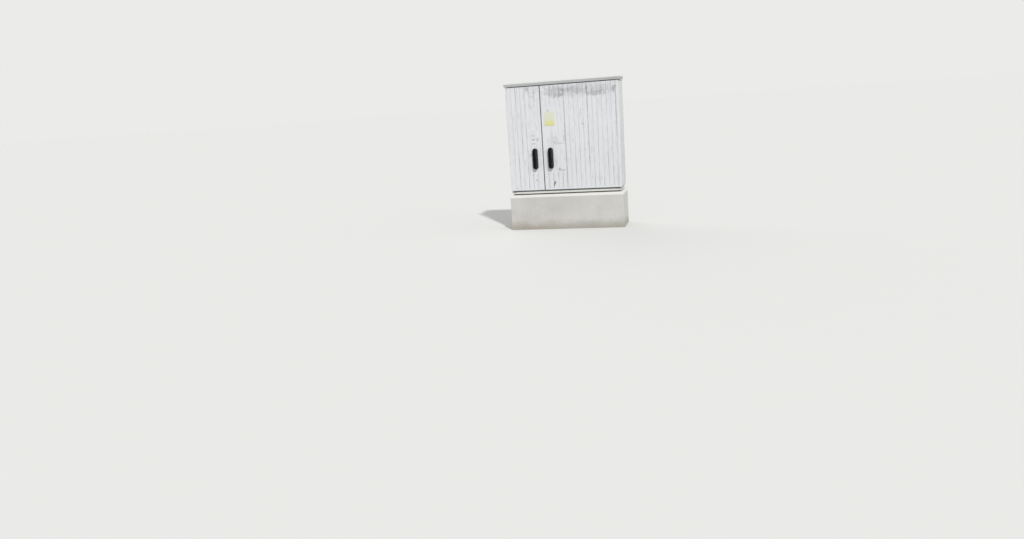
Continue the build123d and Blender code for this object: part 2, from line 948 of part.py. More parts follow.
def make_fuse_rail(x):
    """A three-pole fuse strip: moulded back, clamp jaws for each pole and barriers between."""
    low = busbar_levels[0] - strip_margin
    high = busbar_levels[-1] + strip_margin
    reach = strip_width / 2
    strip = block(x - reach, x + reach, strip_face, strip_back, low, high)
    strip = chamfer(strip.edges().filter_by(Axis.Z), wall)
    slot = blade_thickness / 2 + panel_gap
    for z in busbar_levels:
        pad = busbar_height / 2 - panel_gap
        strip += block(x - pad, x + pad, strip_back, holder_face, z - pad, z + pad)
        for side in (-1, 1):
            middle = z + side * jaw_offset
            cheek = slot + jaw_wall
            jaw = block(
                x - cheek,
                x + cheek,
                jaw_face,
                strip_face,
                middle - jaw_height / 2,
                middle + jaw_height / 2,
            )
            strip += jaw - block(
                x - slot,
                x + slot,
                jaw_face,
                strip_face - jaw_wall,
                middle - jaw_height / 2,
                middle + jaw_height / 2,
            )
    for step in range(strip_barriers):
        z = low + wall / 2 + step * (high - low - wall) / (strip_barriers - 1)
        strip += block(x - reach, x + reach, jaw_face - wall, strip_face, z - wall / 2, z + wall / 2)
    return strip


def make_fuse_links():
    """Twelve plug-in links: a body between end plates, two grip lugs and a blade at each end."""
    links = []
    back = strip_face - 2 * jaw_wall
    front = back - link_depth
    for x in strip_places:
        for z in busbar_levels:
            body = block(
                x - link_half_width,
                x + link_half_width,
                front,
                back,
                z - link_half_height + link_plate,
                z + link_half_height - link_plate,
            )
            body = fillet(body.edges().filter_by(Axis.Z), link_half_width / 3)
            for side in (-1, 1):
                end = z + side * link_half_height
                inner = end - side * link_plate
                body += block(x - link_half_width, x + link_half_width, front, back, inner, end)
                body += block(x - lug_stem, x + lug_stem, front - lug_reach, front, inner, end)
                tip = front - lug_reach + link_plate
                body += block(x - lug_head, x + lug_head, front - lug_reach, tip, inner, end)
            blade_reach = jaw_offset + jaw_height / 2
            body += block(
                x - blade_thickness / 2,
                x + blade_thickness / 2,
                jaw_face + jaw_wall,
                strip_face - jaw_wall - blade_gap,
                z - blade_reach,
                z + blade_reach,
            )
            links.append(body)
    return Compound(links)


def make_neutral_bar():
    """A narrower bar below the strips, screwed to the rails, with a row of holes."""
    left, right = rail_places()
    z = door_z + neutral_height
    front = rail_face - busbar_thickness
    bar = block(
        left - rail_width,
        right + rail_width,
        front,
        rail_face,
        z - neutral_bar_height / 2,
        z + neutral_bar_height / 2,
    )
    hole = slab(Circle(busbar_thickness / 2), front, rail_face)
    count = int((right - left) / flute_pitch)
    return bar - [Pos(left + (step + 1) * flute_pitch, 0, z) * hole for step in range(count - 1)]


def make_cable_clamps():
    """Saddles on the cable rail, one under each fuse strip, empty."""
    z = door_z + cable_rail_height
    back = rail_face - rail_width / 2
    reach = clamp_bore + 2 * wall
    middle = back - reach - clamp_stand
    low = z - clamp_half_height
    high = z + clamp_half_height
    clamps = []
    for x in strip_places:
        clamp = block(x - reach, x + reach, middle, back, low, high)
        clamp += upright(x, middle, low, high, reach)
        clamp -= upright(x, middle, low, high, clamp_bore)
        clamps.append(clamp)
    return Compound(clamps)


# Meter and switch gear in the left bay

plate_x = (seam_x - half) / 2
plate_face = ledge_face - plate_thickness
din_rail_z = door_z + din_rail_height
device_back = plate_face - din_rail_depth
switch_x = plate_x - din_rail_length / 2 + device_gap + switch_width / 2
toggle_depth = device_back - switch_body_depth - switch_nose_depth / 2


def make_mounting_plate():
    low = ledge_low - ledge_height / 2
    high = ledge_high + ledge_height / 2
    reach = plate_width / 2
    plate = block(plate_x - reach, plate_x + reach, plate_face, ledge_face, low, high)
    return fillet(plate.edges().filter_by(Axis.Y), plate_round)


def make_din_rail():
    """A top-hat rail: two brims to the front, the crown on the plate."""
    left = plate_x - din_rail_length / 2
    right = plate_x + din_rail_length / 2
    low = din_rail_z - din_crown
    high = din_rail_z + din_crown
    rail = block(left, right, plate_face - din_sheet, plate_face, low, high)
    for side in (-1, 1):
        inner = din_rail_z + side * (din_crown - din_sheet)
        outer = din_rail_z + side * din_crown
        edge = din_rail_z + side * din_brim
        rail += block(left, right, device_back, plate_face, inner, outer)
        rail += block(left, right, device_back, device_back + din_sheet, inner, edge)
    return rail


def housing_slits(places, front, back, low, high):
    """Shallow slits round the front, top and foot, where housings stand side by side."""
    slits = []
    for x in places:
        left = x - housing_slit / 2
        right = x + housing_slit / 2
        around = block(left, right, front, back, low, high)
        inner_low = low + slit_depth
        inner_high = high - slit_depth
        slits.append(around - block(left, right, front + slit_depth, back, inner_low, inner_high))
    return slits


def make_breaker():
    """Four poles side by side with a nose, and a trough in the nose where the toggle turns."""
    left = switch_x - switch_width / 2
    right = switch_x + switch_width / 2
    back = device_back - panel_gap
    face = device_back - switch_body_depth
    nose = face - switch_nose_depth
    pole = switch_width / switch_poles
    joints = [left + step * pole for step in range(1, switch_poles)]
    low = din_rail_z - switch_height / 2
    high = din_rail_z + switch_height / 2
    nose_low = din_rail_z - switch_height / 4
    nose_high = din_rail_z + switch_height / 4
    body = block(left, right, face, back, low, high)
    body = fillet(body.faces().sort_by(Axis.Y)[0].edges().filter_by(Axis.X), switch_round)
    body -= housing_slits(joints, face, back, low, high)
    front = block(left, right, nose, back, nose_low, nose_high)
    front = fillet(front.faces().sort_by(Axis.Y)[0].edges().filter_by(Axis.X), switch_round)
    body += front - housing_slits(joints, nose, face, nose_low, nose_high)
    trough = 2 * toggle_radius
    body -= block(
        left + toggle_inset,
        right - toggle_inset,
        nose,
        toggle_depth + toggle_radius + sliding_fit,
        din_rail_z - trough,
        din_rail_z + trough,
    )
    socket = toggle_inset - axle_reach - sliding_fit
    axle_bore = axle_radius + running_fit
    return body - crossbar(left + socket, right - socket, toggle_depth, din_rail_z, axle_bore)


def make_toggle():
    """A bar across the trough with its grip tab turned down; it swings up to switch on."""
    reach = switch_width / 2 - toggle_inset - sliding_fit
    axle = reach + axle_reach
    bar = crossbar(switch_x - reach, switch_x + reach, toggle_depth, din_rail_z, toggle_radius)
    bar += crossbar(switch_x - axle, switch_x + axle, toggle_depth, din_rail_z, axle_radius)
    tab = block(-reach, reach, -toggle_reach, 0, -toggle_radius / 2, toggle_radius / 2)
    return bar + Pos(switch_x, toggle_depth, din_rail_z) * Rot(toggle_swing / 2, 0, 0) * tab


def make_terminals():
    """A row of rail terminals with sloped shoulders, a funnel and a screw well in each."""
    left = switch_x + switch_width / 2 + device_gap
    right = left + terminal_count * terminal_pitch
    back = device_back - panel_gap
    front = back - switch_body_depth
    low = din_rail_z - terminal_half_height
    high = din_rail_z + terminal_half_height
    body = block(left, right, front, back, low, high)
    shoulders = body.faces().sort_by(Axis.Y)[0].edges().filter_by(Axis.X)
    body = chamfer(shoulders, terminal_shoulder)
    joints = [left + step * terminal_pitch for step in range(1, terminal_count)]
    body -= housing_slits(joints, front, back, low, high)
    well = slab(Circle(funnel_radius), front, (front + back) / 2)
    for step in range(terminal_count):
        x = left + (step + 0.5) * terminal_pitch
        body -= Pos(x, 0, din_rail_z - funnel_offset) * well
        body -= Pos(x, 0, din_rail_z + funnel_offset) * well
    return body


# The parts by name

parts["concrete_plinth"] = make_plinth()
parts["plinth_sockets"] = make_sockets()
parts["base_bolts"] = make_anchor_bolts()
parts["base_frame"] = make_base_frame()
parts["top_frame"] = make_top_frame()
parts["roof"] = make_roof()
parts["roof_screws"] = make_roof_screws()
parts["left_wall"] = make_side_wall(-1)
parts["right_wall"] = make_side_wall(1)
parts["rear_wall"] = make_rear_wall()
parts["centre_post"] = make_centre_post()
parts["partition_wall"] = make_partition()
parts["hinge_pins"] = make_hinge_pins()
parts["hinge_brackets"] = make_hinge_brackets()

handle_parts = {
    "handle_base": make_handle_base(),
    "handle_screws": make_handle_screws(),
    "lock_cylinder": make_lock_cylinder(),
    "key_rotor": make_rotor(),
    "spindle": make_spindle(),
    "pinion": make_pinion(),
    "handle_lever": make_lever(),
    "lever_pin": make_lever_pin(),
    "lock_case": make_lock_case(),
    "upper_rod": make_upper_rod(),
    "lower_rod": make_lower_rod(),
    "rod_guides": make_rod_guides(),
}
for side_name, hand in (("left", -1), ("right", 1)):
    parts[f"{side_name}_door"] = make_door(hand)
    parts[f"{side_name}_hinge_bushes"] = make_bushes(hand)
    parts[f"{side_name}_seal"] = make_seal(hand)
    for piece, shape in handle_parts.items():
        parts[f"{side_name}_{piece}"] = place_handle(shape, hand)

parts["mounting_rails"] = make_mounting_rails()
parts["busbar_holders"] = make_busbar_holders()
parts["busbars"] = make_busbars()
for number, x in enumerate(strip_places, start=1):
    parts[f"fuse_rail_{number}"] = make_fuse_rail(x)
parts["fuse_links"] = make_fuse_links()
parts["neutral_bar"] = make_neutral_bar()
parts["cable_rail"] = make_cable_rail()
parts["cable_clamps"] = make_cable_clamps()
parts["mounting_plate"] = make_mounting_plate()
parts["din_rail"] = make_din_rail()
parts["circuit_breaker"] = make_breaker()
parts["breaker_toggle"] = make_toggle()
parts["terminal_blocks"] = make_terminals()

os.makedirs("parts", exist_ok=True)
for name, shape in parts.items():
    export_step(Pos(0, origin_shift, 0) * shape, f"parts/{name}.step")

print("parts", len(parts))
print("spindle axis height", pivot_z)
print("rod travel", round(rod_travel, 3))
print("shift of the origin along y", round(origin_shift, 3))
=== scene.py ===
from math import cos, radians, sin

import bmesh
import bpy
from mathutils import Matrix, Vector


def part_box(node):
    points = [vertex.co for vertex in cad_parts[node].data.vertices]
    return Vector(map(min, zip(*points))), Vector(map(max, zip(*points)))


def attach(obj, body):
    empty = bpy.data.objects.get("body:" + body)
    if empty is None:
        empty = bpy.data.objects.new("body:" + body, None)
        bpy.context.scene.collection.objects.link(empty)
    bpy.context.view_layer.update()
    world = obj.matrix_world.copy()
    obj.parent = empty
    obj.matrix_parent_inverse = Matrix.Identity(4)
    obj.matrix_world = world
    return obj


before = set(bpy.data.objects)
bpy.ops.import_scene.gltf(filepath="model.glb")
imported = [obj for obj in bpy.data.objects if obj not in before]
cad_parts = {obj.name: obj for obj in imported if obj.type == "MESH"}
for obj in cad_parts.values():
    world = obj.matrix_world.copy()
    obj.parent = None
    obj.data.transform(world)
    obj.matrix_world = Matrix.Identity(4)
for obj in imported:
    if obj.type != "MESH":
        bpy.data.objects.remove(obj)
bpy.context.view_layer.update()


# Concrete plinth: a precast ring with a bevelled top edge, grey-beige and
# slightly blotchy, with small air pores. It stands in the ground, so its foot
# is darkened by soil splashes, and the bevel is painted lighter: a painted
# highlight for light from above.

def srgb(red, green, blue):
    """A colour from its 0-255 screen values, made linear, with alpha."""
    channels = []
    for value in (red, green, blue):
        part = value / 255
        channels.append(part / 12.92 if part <= 0.04045 else ((part + 0.055) / 1.055) ** 2.4)
    return (*channels, 1.0)


def feed(tree, value, socket):
    """Links an output to a socket, or sets the socket to a plain value."""
    if isinstance(value, bpy.types.NodeSocket):
        tree.links.new(value, socket)
    else:
        socket.default_value = value


def calc(tree, operation, *values):
    """One step of arithmetic on outputs or plain values."""
    node = tree.nodes.new("ShaderNodeMath")
    node.operation = operation
    for value, socket in zip(values, node.inputs):
        feed(tree, value, socket)
    return node.outputs[0]


def fade(tree, value, start, end, low=0.0, high=1.0):
    """A smooth step from low to high as the value goes from start to end."""
    node = tree.nodes.new("ShaderNodeMapRange")
    node.interpolation_type = "SMOOTHSTEP"
    for name, part in (
        ("Value", value), ("From Min", start), ("From Max", end), ("To Min", low), ("To Max", high),
    ):
        feed(tree, part, node.inputs[name])
    return node.outputs["Result"]


def tint(tree, factor, first, second):
    """Mixes two colours."""
    node = tree.nodes.new("ShaderNodeMix")
    node.data_type = "RGBA"
    node.clamp_factor = True
    feed(tree, factor, node.inputs["Factor"])
    feed(tree, first, node.inputs[6])
    feed(tree, second, node.inputs[7])
    return node.outputs[2]


def object_place(tree, stretch=(1, 1, 1)):
    """The point on the object, in metres, scaled along each axis."""
    place = tree.nodes.new("ShaderNodeTexCoord").outputs["Object"]
    if stretch == (1, 1, 1):
        return place
    mapping = tree.nodes.new("ShaderNodeMapping")
    mapping.inputs["Scale"].default_value = stretch
    tree.links.new(place, mapping.inputs["Vector"])
    return mapping.outputs["Vector"]


def axes_of(tree):
    """The x, y and z of the point on the object."""
    split = tree.nodes.new("ShaderNodeSeparateXYZ")
    tree.links.new(object_place(tree), split.inputs[0])
    return split.outputs


def grain(tree, scale, detail=3.0, roughness=0.55, stretch=(1, 1, 1)):
    """A noise value about 0.5."""
    node = tree.nodes.new("ShaderNodeTexNoise")
    node.inputs["Scale"].default_value = scale
    node.inputs["Detail"].default_value = detail
    node.inputs["Roughness"].default_value = roughness
    tree.links.new(object_place(tree, stretch), node.inputs["Vector"])
    return node.outputs["Fac"]


def new_finish(name, roughness, metallic=0.0):
    """A material with one Principled shader."""
    material = bpy.data.materials.new(name)
    material.use_nodes = True
    shader = material.node_tree.nodes["Principled BSDF"]
    shader.inputs["Roughness"].default_value = roughness
    shader.inputs["Metallic"].default_value = metallic
    return material, material.node_tree, shader


def relief(tree, shader, height, distance, strength):
    """Bumps the surface by a height."""
    bump = tree.nodes.new("ShaderNodeBump")
    bump.inputs["Strength"].default_value = strength
    bump.inputs["Distance"].default_value = distance
    tree.links.new(height, bump.inputs["Height"])
    tree.links.new(bump.outputs["Normal"], shader.inputs["Normal"])


def dress(material, *nodes):
    """Gives CAD pieces their finish."""
    for name in nodes:
        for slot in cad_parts[name].material_slots:
            slot.material = material


def new_group(name, inputs, outputs):
    """An empty shader group with float inputs and the outputs named."""
    group = bpy.data.node_groups.new(name, "ShaderNodeTree")
    for label, value in inputs.items():
        socket = group.interface.new_socket(name=label, in_out="INPUT", socket_type="NodeSocketFloat")
        socket.default_value = value
    for label in outputs:
        group.interface.new_socket(name=label, in_out="OUTPUT", socket_type="NodeSocketFloat")
    return group, group.nodes.new("NodeGroupInput").outputs, group.nodes.new("NodeGroupOutput").inputs


def use_group(tree, group, **values):
    """Places a group with its own values, given by the input names with _ for spaces."""
    node = tree.nodes.new("ShaderNodeGroup")
    node.node_tree = group
    for label, value in values.items():
        feed(tree, value, node.inputs[label.replace("_", " ")])
    return node.outputs


blotches, given, result = new_group(
    "blotches", {"Large scale": 3.0, "Fine scale": 60.0, "Contrast": 1.0}, ["Shade"]
)
shades = []
for label in ("Large scale", "Fine scale"):
    cloud = blotches.nodes.new("ShaderNodeTexNoise")
    cloud.inputs["Detail"].default_value = 4.0
    blotches.links.new(given[label], cloud.inputs["Scale"])
    blotches.links.new(object_place(blotches), cloud.inputs["Vector"])
    shades.append(calc(blotches, "SUBTRACT", cloud.outputs["Fac"], 0.5))
summed = calc(blotches, "MULTIPLY_ADD", shades[1], 0.5, shades[0])
blotches.links.new(calc(blotches, "MULTIPLY_ADD", summed, given["Contrast"], 0.5), result["Shade"])

concrete, tree, shader = new_finish("plinth concrete", 0.9)
x, _, z = axes_of(tree)
shade = use_group(tree, blotches, Large_scale=3.2, Fine_scale=70.0, Contrast=1.5)["Shade"]
colour = tint(tree, shade, srgb(189, 186, 180), srgb(214, 212, 208))
cool_side = fade(tree, x, -0.3, 0.5)
colour = tint(tree, calc(tree, "MULTIPLY", cool_side, 0.4), colour, srgb(205, 206, 203))
damp = fade(tree, grain(tree, 5.5, 5.0, 0.6, (1.0, 1.0, 1.6)), 0.52, 0.72)
colour = tint(tree, calc(tree, "MULTIPLY", damp, 0.45), colour, srgb(180, 184, 184))
rosy = fade(tree, grain(tree, 4.0, 4.0, 0.6, (1.3, 1.3, 1.0)), 0.36, 0.24)
colour = tint(tree, calc(tree, "MULTIPLY", rosy, 0.5), colour, srgb(214, 203, 195))
plinth_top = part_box("concrete_plinth")[1].z
bevel_foot = plinth_top - 0.028
bevel_middle = plinth_top - 0.016
# The bevel is painted lighter: a painted highlight for light from above.
painted_bevel_highlight = fade(tree, z, bevel_foot, bevel_middle)
colour = tint(tree, calc(tree, "MULTIPLY", painted_bevel_highlight, 0.6), colour, srgb(224, 221, 216))
pores = tree.nodes.new("ShaderNodeTexVoronoi")
pores.inputs["Scale"].default_value = 55.0
tree.links.new(object_place(tree), pores.inputs["Vector"])
pit = fade(tree, pores.outputs["Distance"], 0.16, 0.1)
pit = calc(tree, "MULTIPLY", pit, fade(tree, grain(tree, 14.0), 0.5, 0.62))
colour = tint(tree, calc(tree, "MULTIPLY", pit, 0.45), colour, srgb(120, 115, 108))
least_splash = 0.03
further_splash = 0.16
splash_edge = calc(tree, "MULTIPLY_ADD", grain(tree, 9.0, 5.0), further_splash, least_splash)
splash = fade(tree, z, splash_edge, 0.0)
colour = tint(tree, calc(tree, "MULTIPLY", splash, 0.5), colour, srgb(128, 116, 92))
feed(tree, colour, shader.inputs["Base Color"])
rough = calc(tree, "MULTIPLY_ADD", grain(tree, 260.0, 4.0), 0.5, calc(tree, "MULTIPLY", pit, -1.0))
relief(tree, shader, rough, 0.0012, 0.6)
dress(concrete, "concrete_plinth")


# Fluted panels: doors, side walls and rear wall, moulded from glass-fibre
# polyester in one light grey. Weather has dulled them: the grooves are painted
# darker, partly for dirt held in them and partly as painted shade in the recess;
# dirt washes down in faint vertical streaks and gathers under the roof.

streaks, given, result = new_group("rain streaks", {"Width": 0.02, "Length": 0.6}, ["Mask"])
place = axes_of(streaks)
around = calc(streaks, "ADD", place[0], place[1])
stretched = streaks.nodes.new("ShaderNodeCombineXYZ")
streaks.links.new(calc(streaks, "DIVIDE", around, given["Width"]), stretched.inputs[0])
streaks.links.new(calc(streaks, "DIVIDE", place[2], given["Length"]), stretched.inputs[2])
runs = streaks.nodes.new("ShaderNodeTexNoise")
runs.inputs["Scale"].default_value = 1.0
runs.inputs["Detail"].default_value = 3.0
streaks.links.new(stretched.outputs[0], runs.inputs["Vector"])
streaks.links.new(fade(streaks, runs.outputs["Fac"], 0.5, 0.78), result["Mask"])

smudge, given, result = new_group(
    "dirt patch",
    {
        "Middle x": 0.0, "Middle z": 1.0, "Half width": 0.1, "Half height": 0.1,
        "Patchiness": 0.5, "Lean": 0.0,
    },
    ["Mask"],
)
place = axes_of(smudge)
rise = calc(smudge, "SUBTRACT", place[2], given["Middle z"])
across = calc(smudge, "SUBTRACT", place[0], given["Middle x"])
across = calc(smudge, "SUBTRACT", across, calc(smudge, "MULTIPLY", rise, given["Lean"]))
across = calc(smudge, "DIVIDE", across, given["Half width"])
rise = calc(smudge, "DIVIDE", rise, given["Half height"])
across_squared = calc(smudge, "POWER", across, 2.0)
rise_squared = calc(smudge, "POWER", rise, 2.0)
away = calc(smudge, "SQRT", calc(smudge, "ADD", across_squared, rise_squared))
ragged = grain(smudge, 34.0, 5.0, 0.7, (1, 1, 0.7))
away = calc(smudge, "MULTIPLY_ADD", calc(smudge, "SUBTRACT", ragged, 0.5), 2.2, away)
inside = fade(smudge, away, 1.15, 0.45)
patches = fade(smudge, grain(smudge, 70.0, 4.0, 0.65, (1, 1, 0.45)), 0.36, 0.66)
even = calc(smudge, "SUBTRACT", 1.0, given["Patchiness"])
patches = calc(smudge, "ADD", calc(smudge, "MULTIPLY", patches, given["Patchiness"]), even)
smudge.links.new(calc(smudge, "MULTIPLY", inside, patches), result["Mask"])


def fluted_finish(name, axis, face, inward, groove_darkening, warmth, dirt):
    """Weathered polyester, with dirt and painted shade in the grooves behind the face along one axis.
    Each patch of dirt is a place (x, z), half sizes, patchiness, lean and strength."""
    groove_lip, groove_floor, inner_side = 0.0012, 0.0034, 0.0038
    near_foot, half_way, near_head = 0.5, 0.9, 1.4
    material, tree, shader = new_finish(name, 0.42)
    place = axes_of(tree)
    shade = use_group(tree, blotches, Large_scale=2.2, Fine_scale=26.0, Contrast=0.9)["Shade"]
    colour = tint(tree, shade, srgb(216, 218, 221), srgb(230, 231, 234))
    recess = calc(tree, "MULTIPLY", calc(tree, "SUBTRACT", place[axis], face), inward)
    # The grooves are painted darker: partly dirt, partly painted shade in the recess.
    groove_dirt_and_shade = fade(tree, recess, groove_lip, groove_floor)
    groove_dirt_and_shade = calc(tree, "MULTIPLY", groove_dirt_and_shade, fade(tree, recess, inner_side, inner_side - 0.0002))
    patchy = fade(tree, grain(tree, 7.0, 4.0, 0.6, (3.0, 3.0, 0.5)), 0.36, 0.64, 0.2, 1.0)
    dirt_and_shade_amount = calc(tree, "MULTIPLY", patchy, fade(tree, place[2], half_way, near_foot, groove_darkening, 0.62))
    colour = tint(tree, calc(tree, "MULTIPLY", groove_dirt_and_shade, dirt_and_shade_amount), colour, srgb(156, 158, 157))
    run = use_group(tree, streaks, Width=0.016, Length=0.55)["Mask"]
    high = fade(tree, place[2], near_foot, near_head, 0.25, 0.42)
    colour = tint(tree, calc(tree, "MULTIPLY", run, high), colour, srgb(176, 178, 177))
    smear = use_group(tree, streaks, Width=0.022, Length=0.09)["Mask"]
    colour = tint(tree, calc(tree, "MULTIPLY", smear, 0.5), colour, srgb(184, 186, 188))
    colour = tint(tree, warmth, colour, srgb(190, 186, 176))
    for x, z, wide, tall, patchiness, lean, strength in dirt:
        mask = use_group(
            tree, smudge, Middle_x=x, Middle_z=z, Half_width=wide, Half_height=tall,
            Patchiness=patchiness, Lean=lean,
        )["Mask"]
        colour = tint(tree, calc(tree, "MULTIPLY", mask, strength), colour, srgb(112, 112, 110))
    inner = fade(tree, recess, inner_side - 0.0001, inner_side + 0.0001)
    clean = tint(tree, shade, srgb(210, 211, 209), srgb(223, 224, 222))
    colour = tint(tree, inner, colour, clean)
    feed(tree, colour, shader.inputs["Base Color"])
    rough = fade(tree, shade, 0.2, 0.8, 0.36, 0.52)
    feed(tree, calc(tree, "MULTIPLY_ADD", run, 0.15, rough), shader.inputs["Roughness"])
    relief(tree, shader, grain(tree, 420.0, 2.0), 0.0002, 0.35)
    return material


left_dirt = (
    (-0.300, 1.370, 0.090, 0.045, 0.6, 0.0, 0.16),
    (-0.337, 1.382, 0.024, 0.024, 0.3, 0.0, 0.40),
    (-0.267, 1.315, 0.010, 0.090, 0.6, 0.0, 0.30),
    (-0.297, 1.308, 0.026, 0.016, 0.5, 0.0, 0.22),
    (-0.300, 0.935, 0.020, 0.014, 0.5, 0.0, 0.42),
    (-0.298, 0.895, 0.016, 0.015, 0.3, 0.0, 0.50),
    (-0.258, 0.895, 0.014, 0.020, 0.5, 0.0, 0.45),
    (-0.296, 0.855, 0.026, 0.010, 0.6, 0.0, 0.38),
    (-0.292, 0.495, 0.012, 0.010, 0.2, 0.0, 0.45),
    (-0.340, 0.745, 0.012, 0.018, 0.5, 0.0, 0.25),
)
right_dirt = (
    (0.170, 1.345, 0.420, 0.075, 0.3, 0.0, 0.14),
    (-0.060, 1.340, 0.120, 0.062, 0.5, 0.0, 0.36),
    (-0.025, 1.310, 0.050, 0.026, 0.4, 0.0, 0.30),
    (0.130, 1.350, 0.140, 0.042, 0.5, 0.0, 0.36),
    (0.390, 1.345, 0.150, 0.045, 0.6, 0.0, 0.26),
    (0.330, 1.305, 0.120, 0.028, 0.4, -0.2, 0.42),
    (0.247, 1.365, 0.010, 0.034, 0.2, 0.0, 0.60),
    (0.512, 1.337, 0.018, 0.040, 0.3, 0.0, 0.55),
    (-0.140, 1.165, 0.022, 0.018, 0.7, 0.0, 0.30),
    (-0.100, 0.880, 0.060, 0.040, 0.95, 0.0, 0.32),
    (0.010, 0.900, 0.016, 0.050, 0.6, 0.0, 0.28),
    (-0.040, 0.848, 0.075, 0.010, 0.7, 0.0, 0.32),
    (0.198, 1.024, 0.018, 0.012, 0.4, 0.0, 0.28),
    (-0.050, 0.597, 0.014, 0.020, 0.2, 0.0, 0.55),
    (-0.018, 0.585, 0.024, 0.010, 0.4, 0.0, 0.42),
    (-0.107, 0.456, 0.011, 0.026, 0.0, 0.35, 0.95),
    (0.0225, 0.900, 0.005, 0.600, 0.5, 0.0, 0.50),
    (0.2515, 1.000, 0.005, 0.500, 0.5, 0.0, 0.42),
    (0.5245, 1.150, 0.006, 0.330, 0.6, 0.0, 0.40),
)
front_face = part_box("right_door")[0].y
left_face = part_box("left_wall")[0].x
right_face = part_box("right_wall")[1].x
rear_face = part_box("rear_wall")[1].y
for piece, axis, face, inward, groove_darkening, warmth, dirt in (
    ("left_door", 1, front_face, 1, 0.42, 0.0, left_dirt),
    ("right_door", 1, front_face, 1, 0.27, 0.0, right_dirt),
    ("left_wall", 0, left_face, 1, 0.4, 0.15, ()),
    ("right_wall", 0, right_face, -1, 0.3, 0.25, ()),
    ("rear_wall", 1, rear_face, -1, 0.4, 0.1, ()),
):
    finish_name = piece.replace("_", " ") + " polyester"
    dress(fluted_finish(finish_name, axis, face, inward, groove_darkening, warmth, dirt), piece)


# Roof: a flat moulded hood, a shade darker than the doors, because rain
# leaves soot and algae on it. It is screwed up to four bosses from below.

roof_finish, tree, shader = new_finish("roof polyester", 0.5)
z = axes_of(tree)[2]
shade = use_group(tree, blotches, Large_scale=4.0, Fine_scale=38.0, Contrast=1.3)["Shade"]
colour = tint(tree, shade, srgb(168, 170, 171), srgb(184, 186, 186))
roof_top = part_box("roof")[1].z
below_top = fade(tree, z, roof_top - 0.0002, roof_top - 0.0015)
# The upper part of the front face is painted lighter: a painted highlight where the rounded top edge
# would catch light from above.
edge = calc(tree, "MULTIPLY", fade(tree, z, roof_top - 0.015, roof_top - 0.005), below_top)
colour = tint(tree, calc(tree, "MULTIPLY", edge, 0.75), colour, srgb(214, 217, 211))
upper = fade(tree, z, roof_top - 0.004, roof_top - 0.0005)
soot = calc(tree, "MULTIPLY", fade(tree, grain(tree, 6.0, 6.0, 0.7), 0.42, 0.7), upper)
colour = tint(tree, calc(tree, "MULTIPLY", soot, 0.5), colour, srgb(140, 142, 136))
specks = calc(tree, "MULTIPLY", fade(tree, grain(tree, 55.0, 4.0, 0.7), 0.56, 0.68), upper)
colour = tint(tree, calc(tree, "MULTIPLY", specks, 0.4), colour, srgb(122, 124, 114))
run = calc(tree, "MULTIPLY", use_group(tree, streaks, Width=0.03, Length=0.2)["Mask"], below_top)
colour = tint(tree, calc(tree, "MULTIPLY", run, 0.3), colour, srgb(165, 167, 165))
feed(tree, colour, shader.inputs["Base Color"])
feed(tree, fade(tree, shade, 0.2, 0.8, 0.42, 0.6), shader.inputs["Roughness"])
relief(tree, shader, grain(tree, 380.0, 2.0), 0.0002, 0.4)
dress(roof_finish, "roof")


# Base frame, top frame, centre post and partition: moulded polyester in a
# warmer white. The set-back foot and neck of the base frame are painted dark
# grey as painted shade in their recesses, and read as dark lines above and
# below the band.

frame_finish, tree, shader = new_finish("frame polyester", 0.5)
z = axes_of(tree)[2]
shade = use_group(tree, blotches, Large_scale=3.0, Fine_scale=40.0, Contrast=1.0)["Shade"]
colour = tint(tree, shade, srgb(213, 214, 209), srgb(227, 227, 223))
foot_top = plinth_top + 0.013
band_top = plinth_top + 0.031
neck_top = plinth_top + 0.0455
blur = 0.0005
# The set-back foot and neck are painted dark grey: painted shade in these recesses.
foot_painted_shade = fade(tree, z, foot_top + blur, foot_top - blur)
above_band = fade(tree, z, band_top - blur, band_top + blur)
below_doors = fade(tree, z, neck_top + 2 * blur, neck_top - 2 * blur, 0.0, 0.6)
neck_painted_shade = calc(tree, "MULTIPLY", above_band, below_doors)
colour = tint(tree, calc(tree, "MULTIPLY", foot_painted_shade, 0.95), colour, srgb(80, 81, 79))
colour = tint(tree, calc(tree, "MULTIPLY", neck_painted_shade, 0.9), colour, srgb(104, 105, 103))
dust = fade(tree, grain(tree, 16.0, 5.0), 0.48, 0.7)
colour = tint(tree, calc(tree, "MULTIPLY", dust, 0.18), colour, srgb(178, 174, 160))
feed(tree, colour, shader.inputs["Base Color"])
feed(tree, fade(tree, shade, 0.2, 0.8, 0.42, 0.6), shader.inputs["Roughness"])
relief(tree, shader, grain(tree, 400.0, 2.0), 0.0002, 0.35)
dress(frame_finish, "base_frame", "top_frame", "centre_post", "partition_wall")


# Swing handles: a base on the door and a lever on it, both moulded in black
# glass-filled nylon with an eroded texture. The faces turned up and to the right,
# the right half and the upper end of each handle are painted lighter grey: painted highlight.
# The base is screwed on from inside; the lever hangs on a cross pin.

handle_finish, tree, shader = new_finish("black handle nylon", 0.5)
x, _, z = axes_of(tree)
shade = use_group(tree, blotches, Large_scale=14.0, Fine_scale=120.0, Contrast=1.2)["Shade"]
colour = tint(tree, shade, srgb(9, 9, 11), srgb(17, 17, 19))
outward = tree.nodes.new("ShaderNodeSeparateXYZ")
tree.links.new(tree.nodes.new("ShaderNodeTexCoord").outputs["Normal"], outward.inputs[0])
sunward = calc(tree, "ADD", outward.outputs[0], outward.outputs[2])
left_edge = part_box("left_handle_base")[0].x
handle_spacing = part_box("right_handle_base")[0].x - left_edge
across = calc(tree, "MODULO", calc(tree, "SUBTRACT", x, left_edge), handle_spacing)
handle_middle = 0.026
handle_shoulder = 0.044
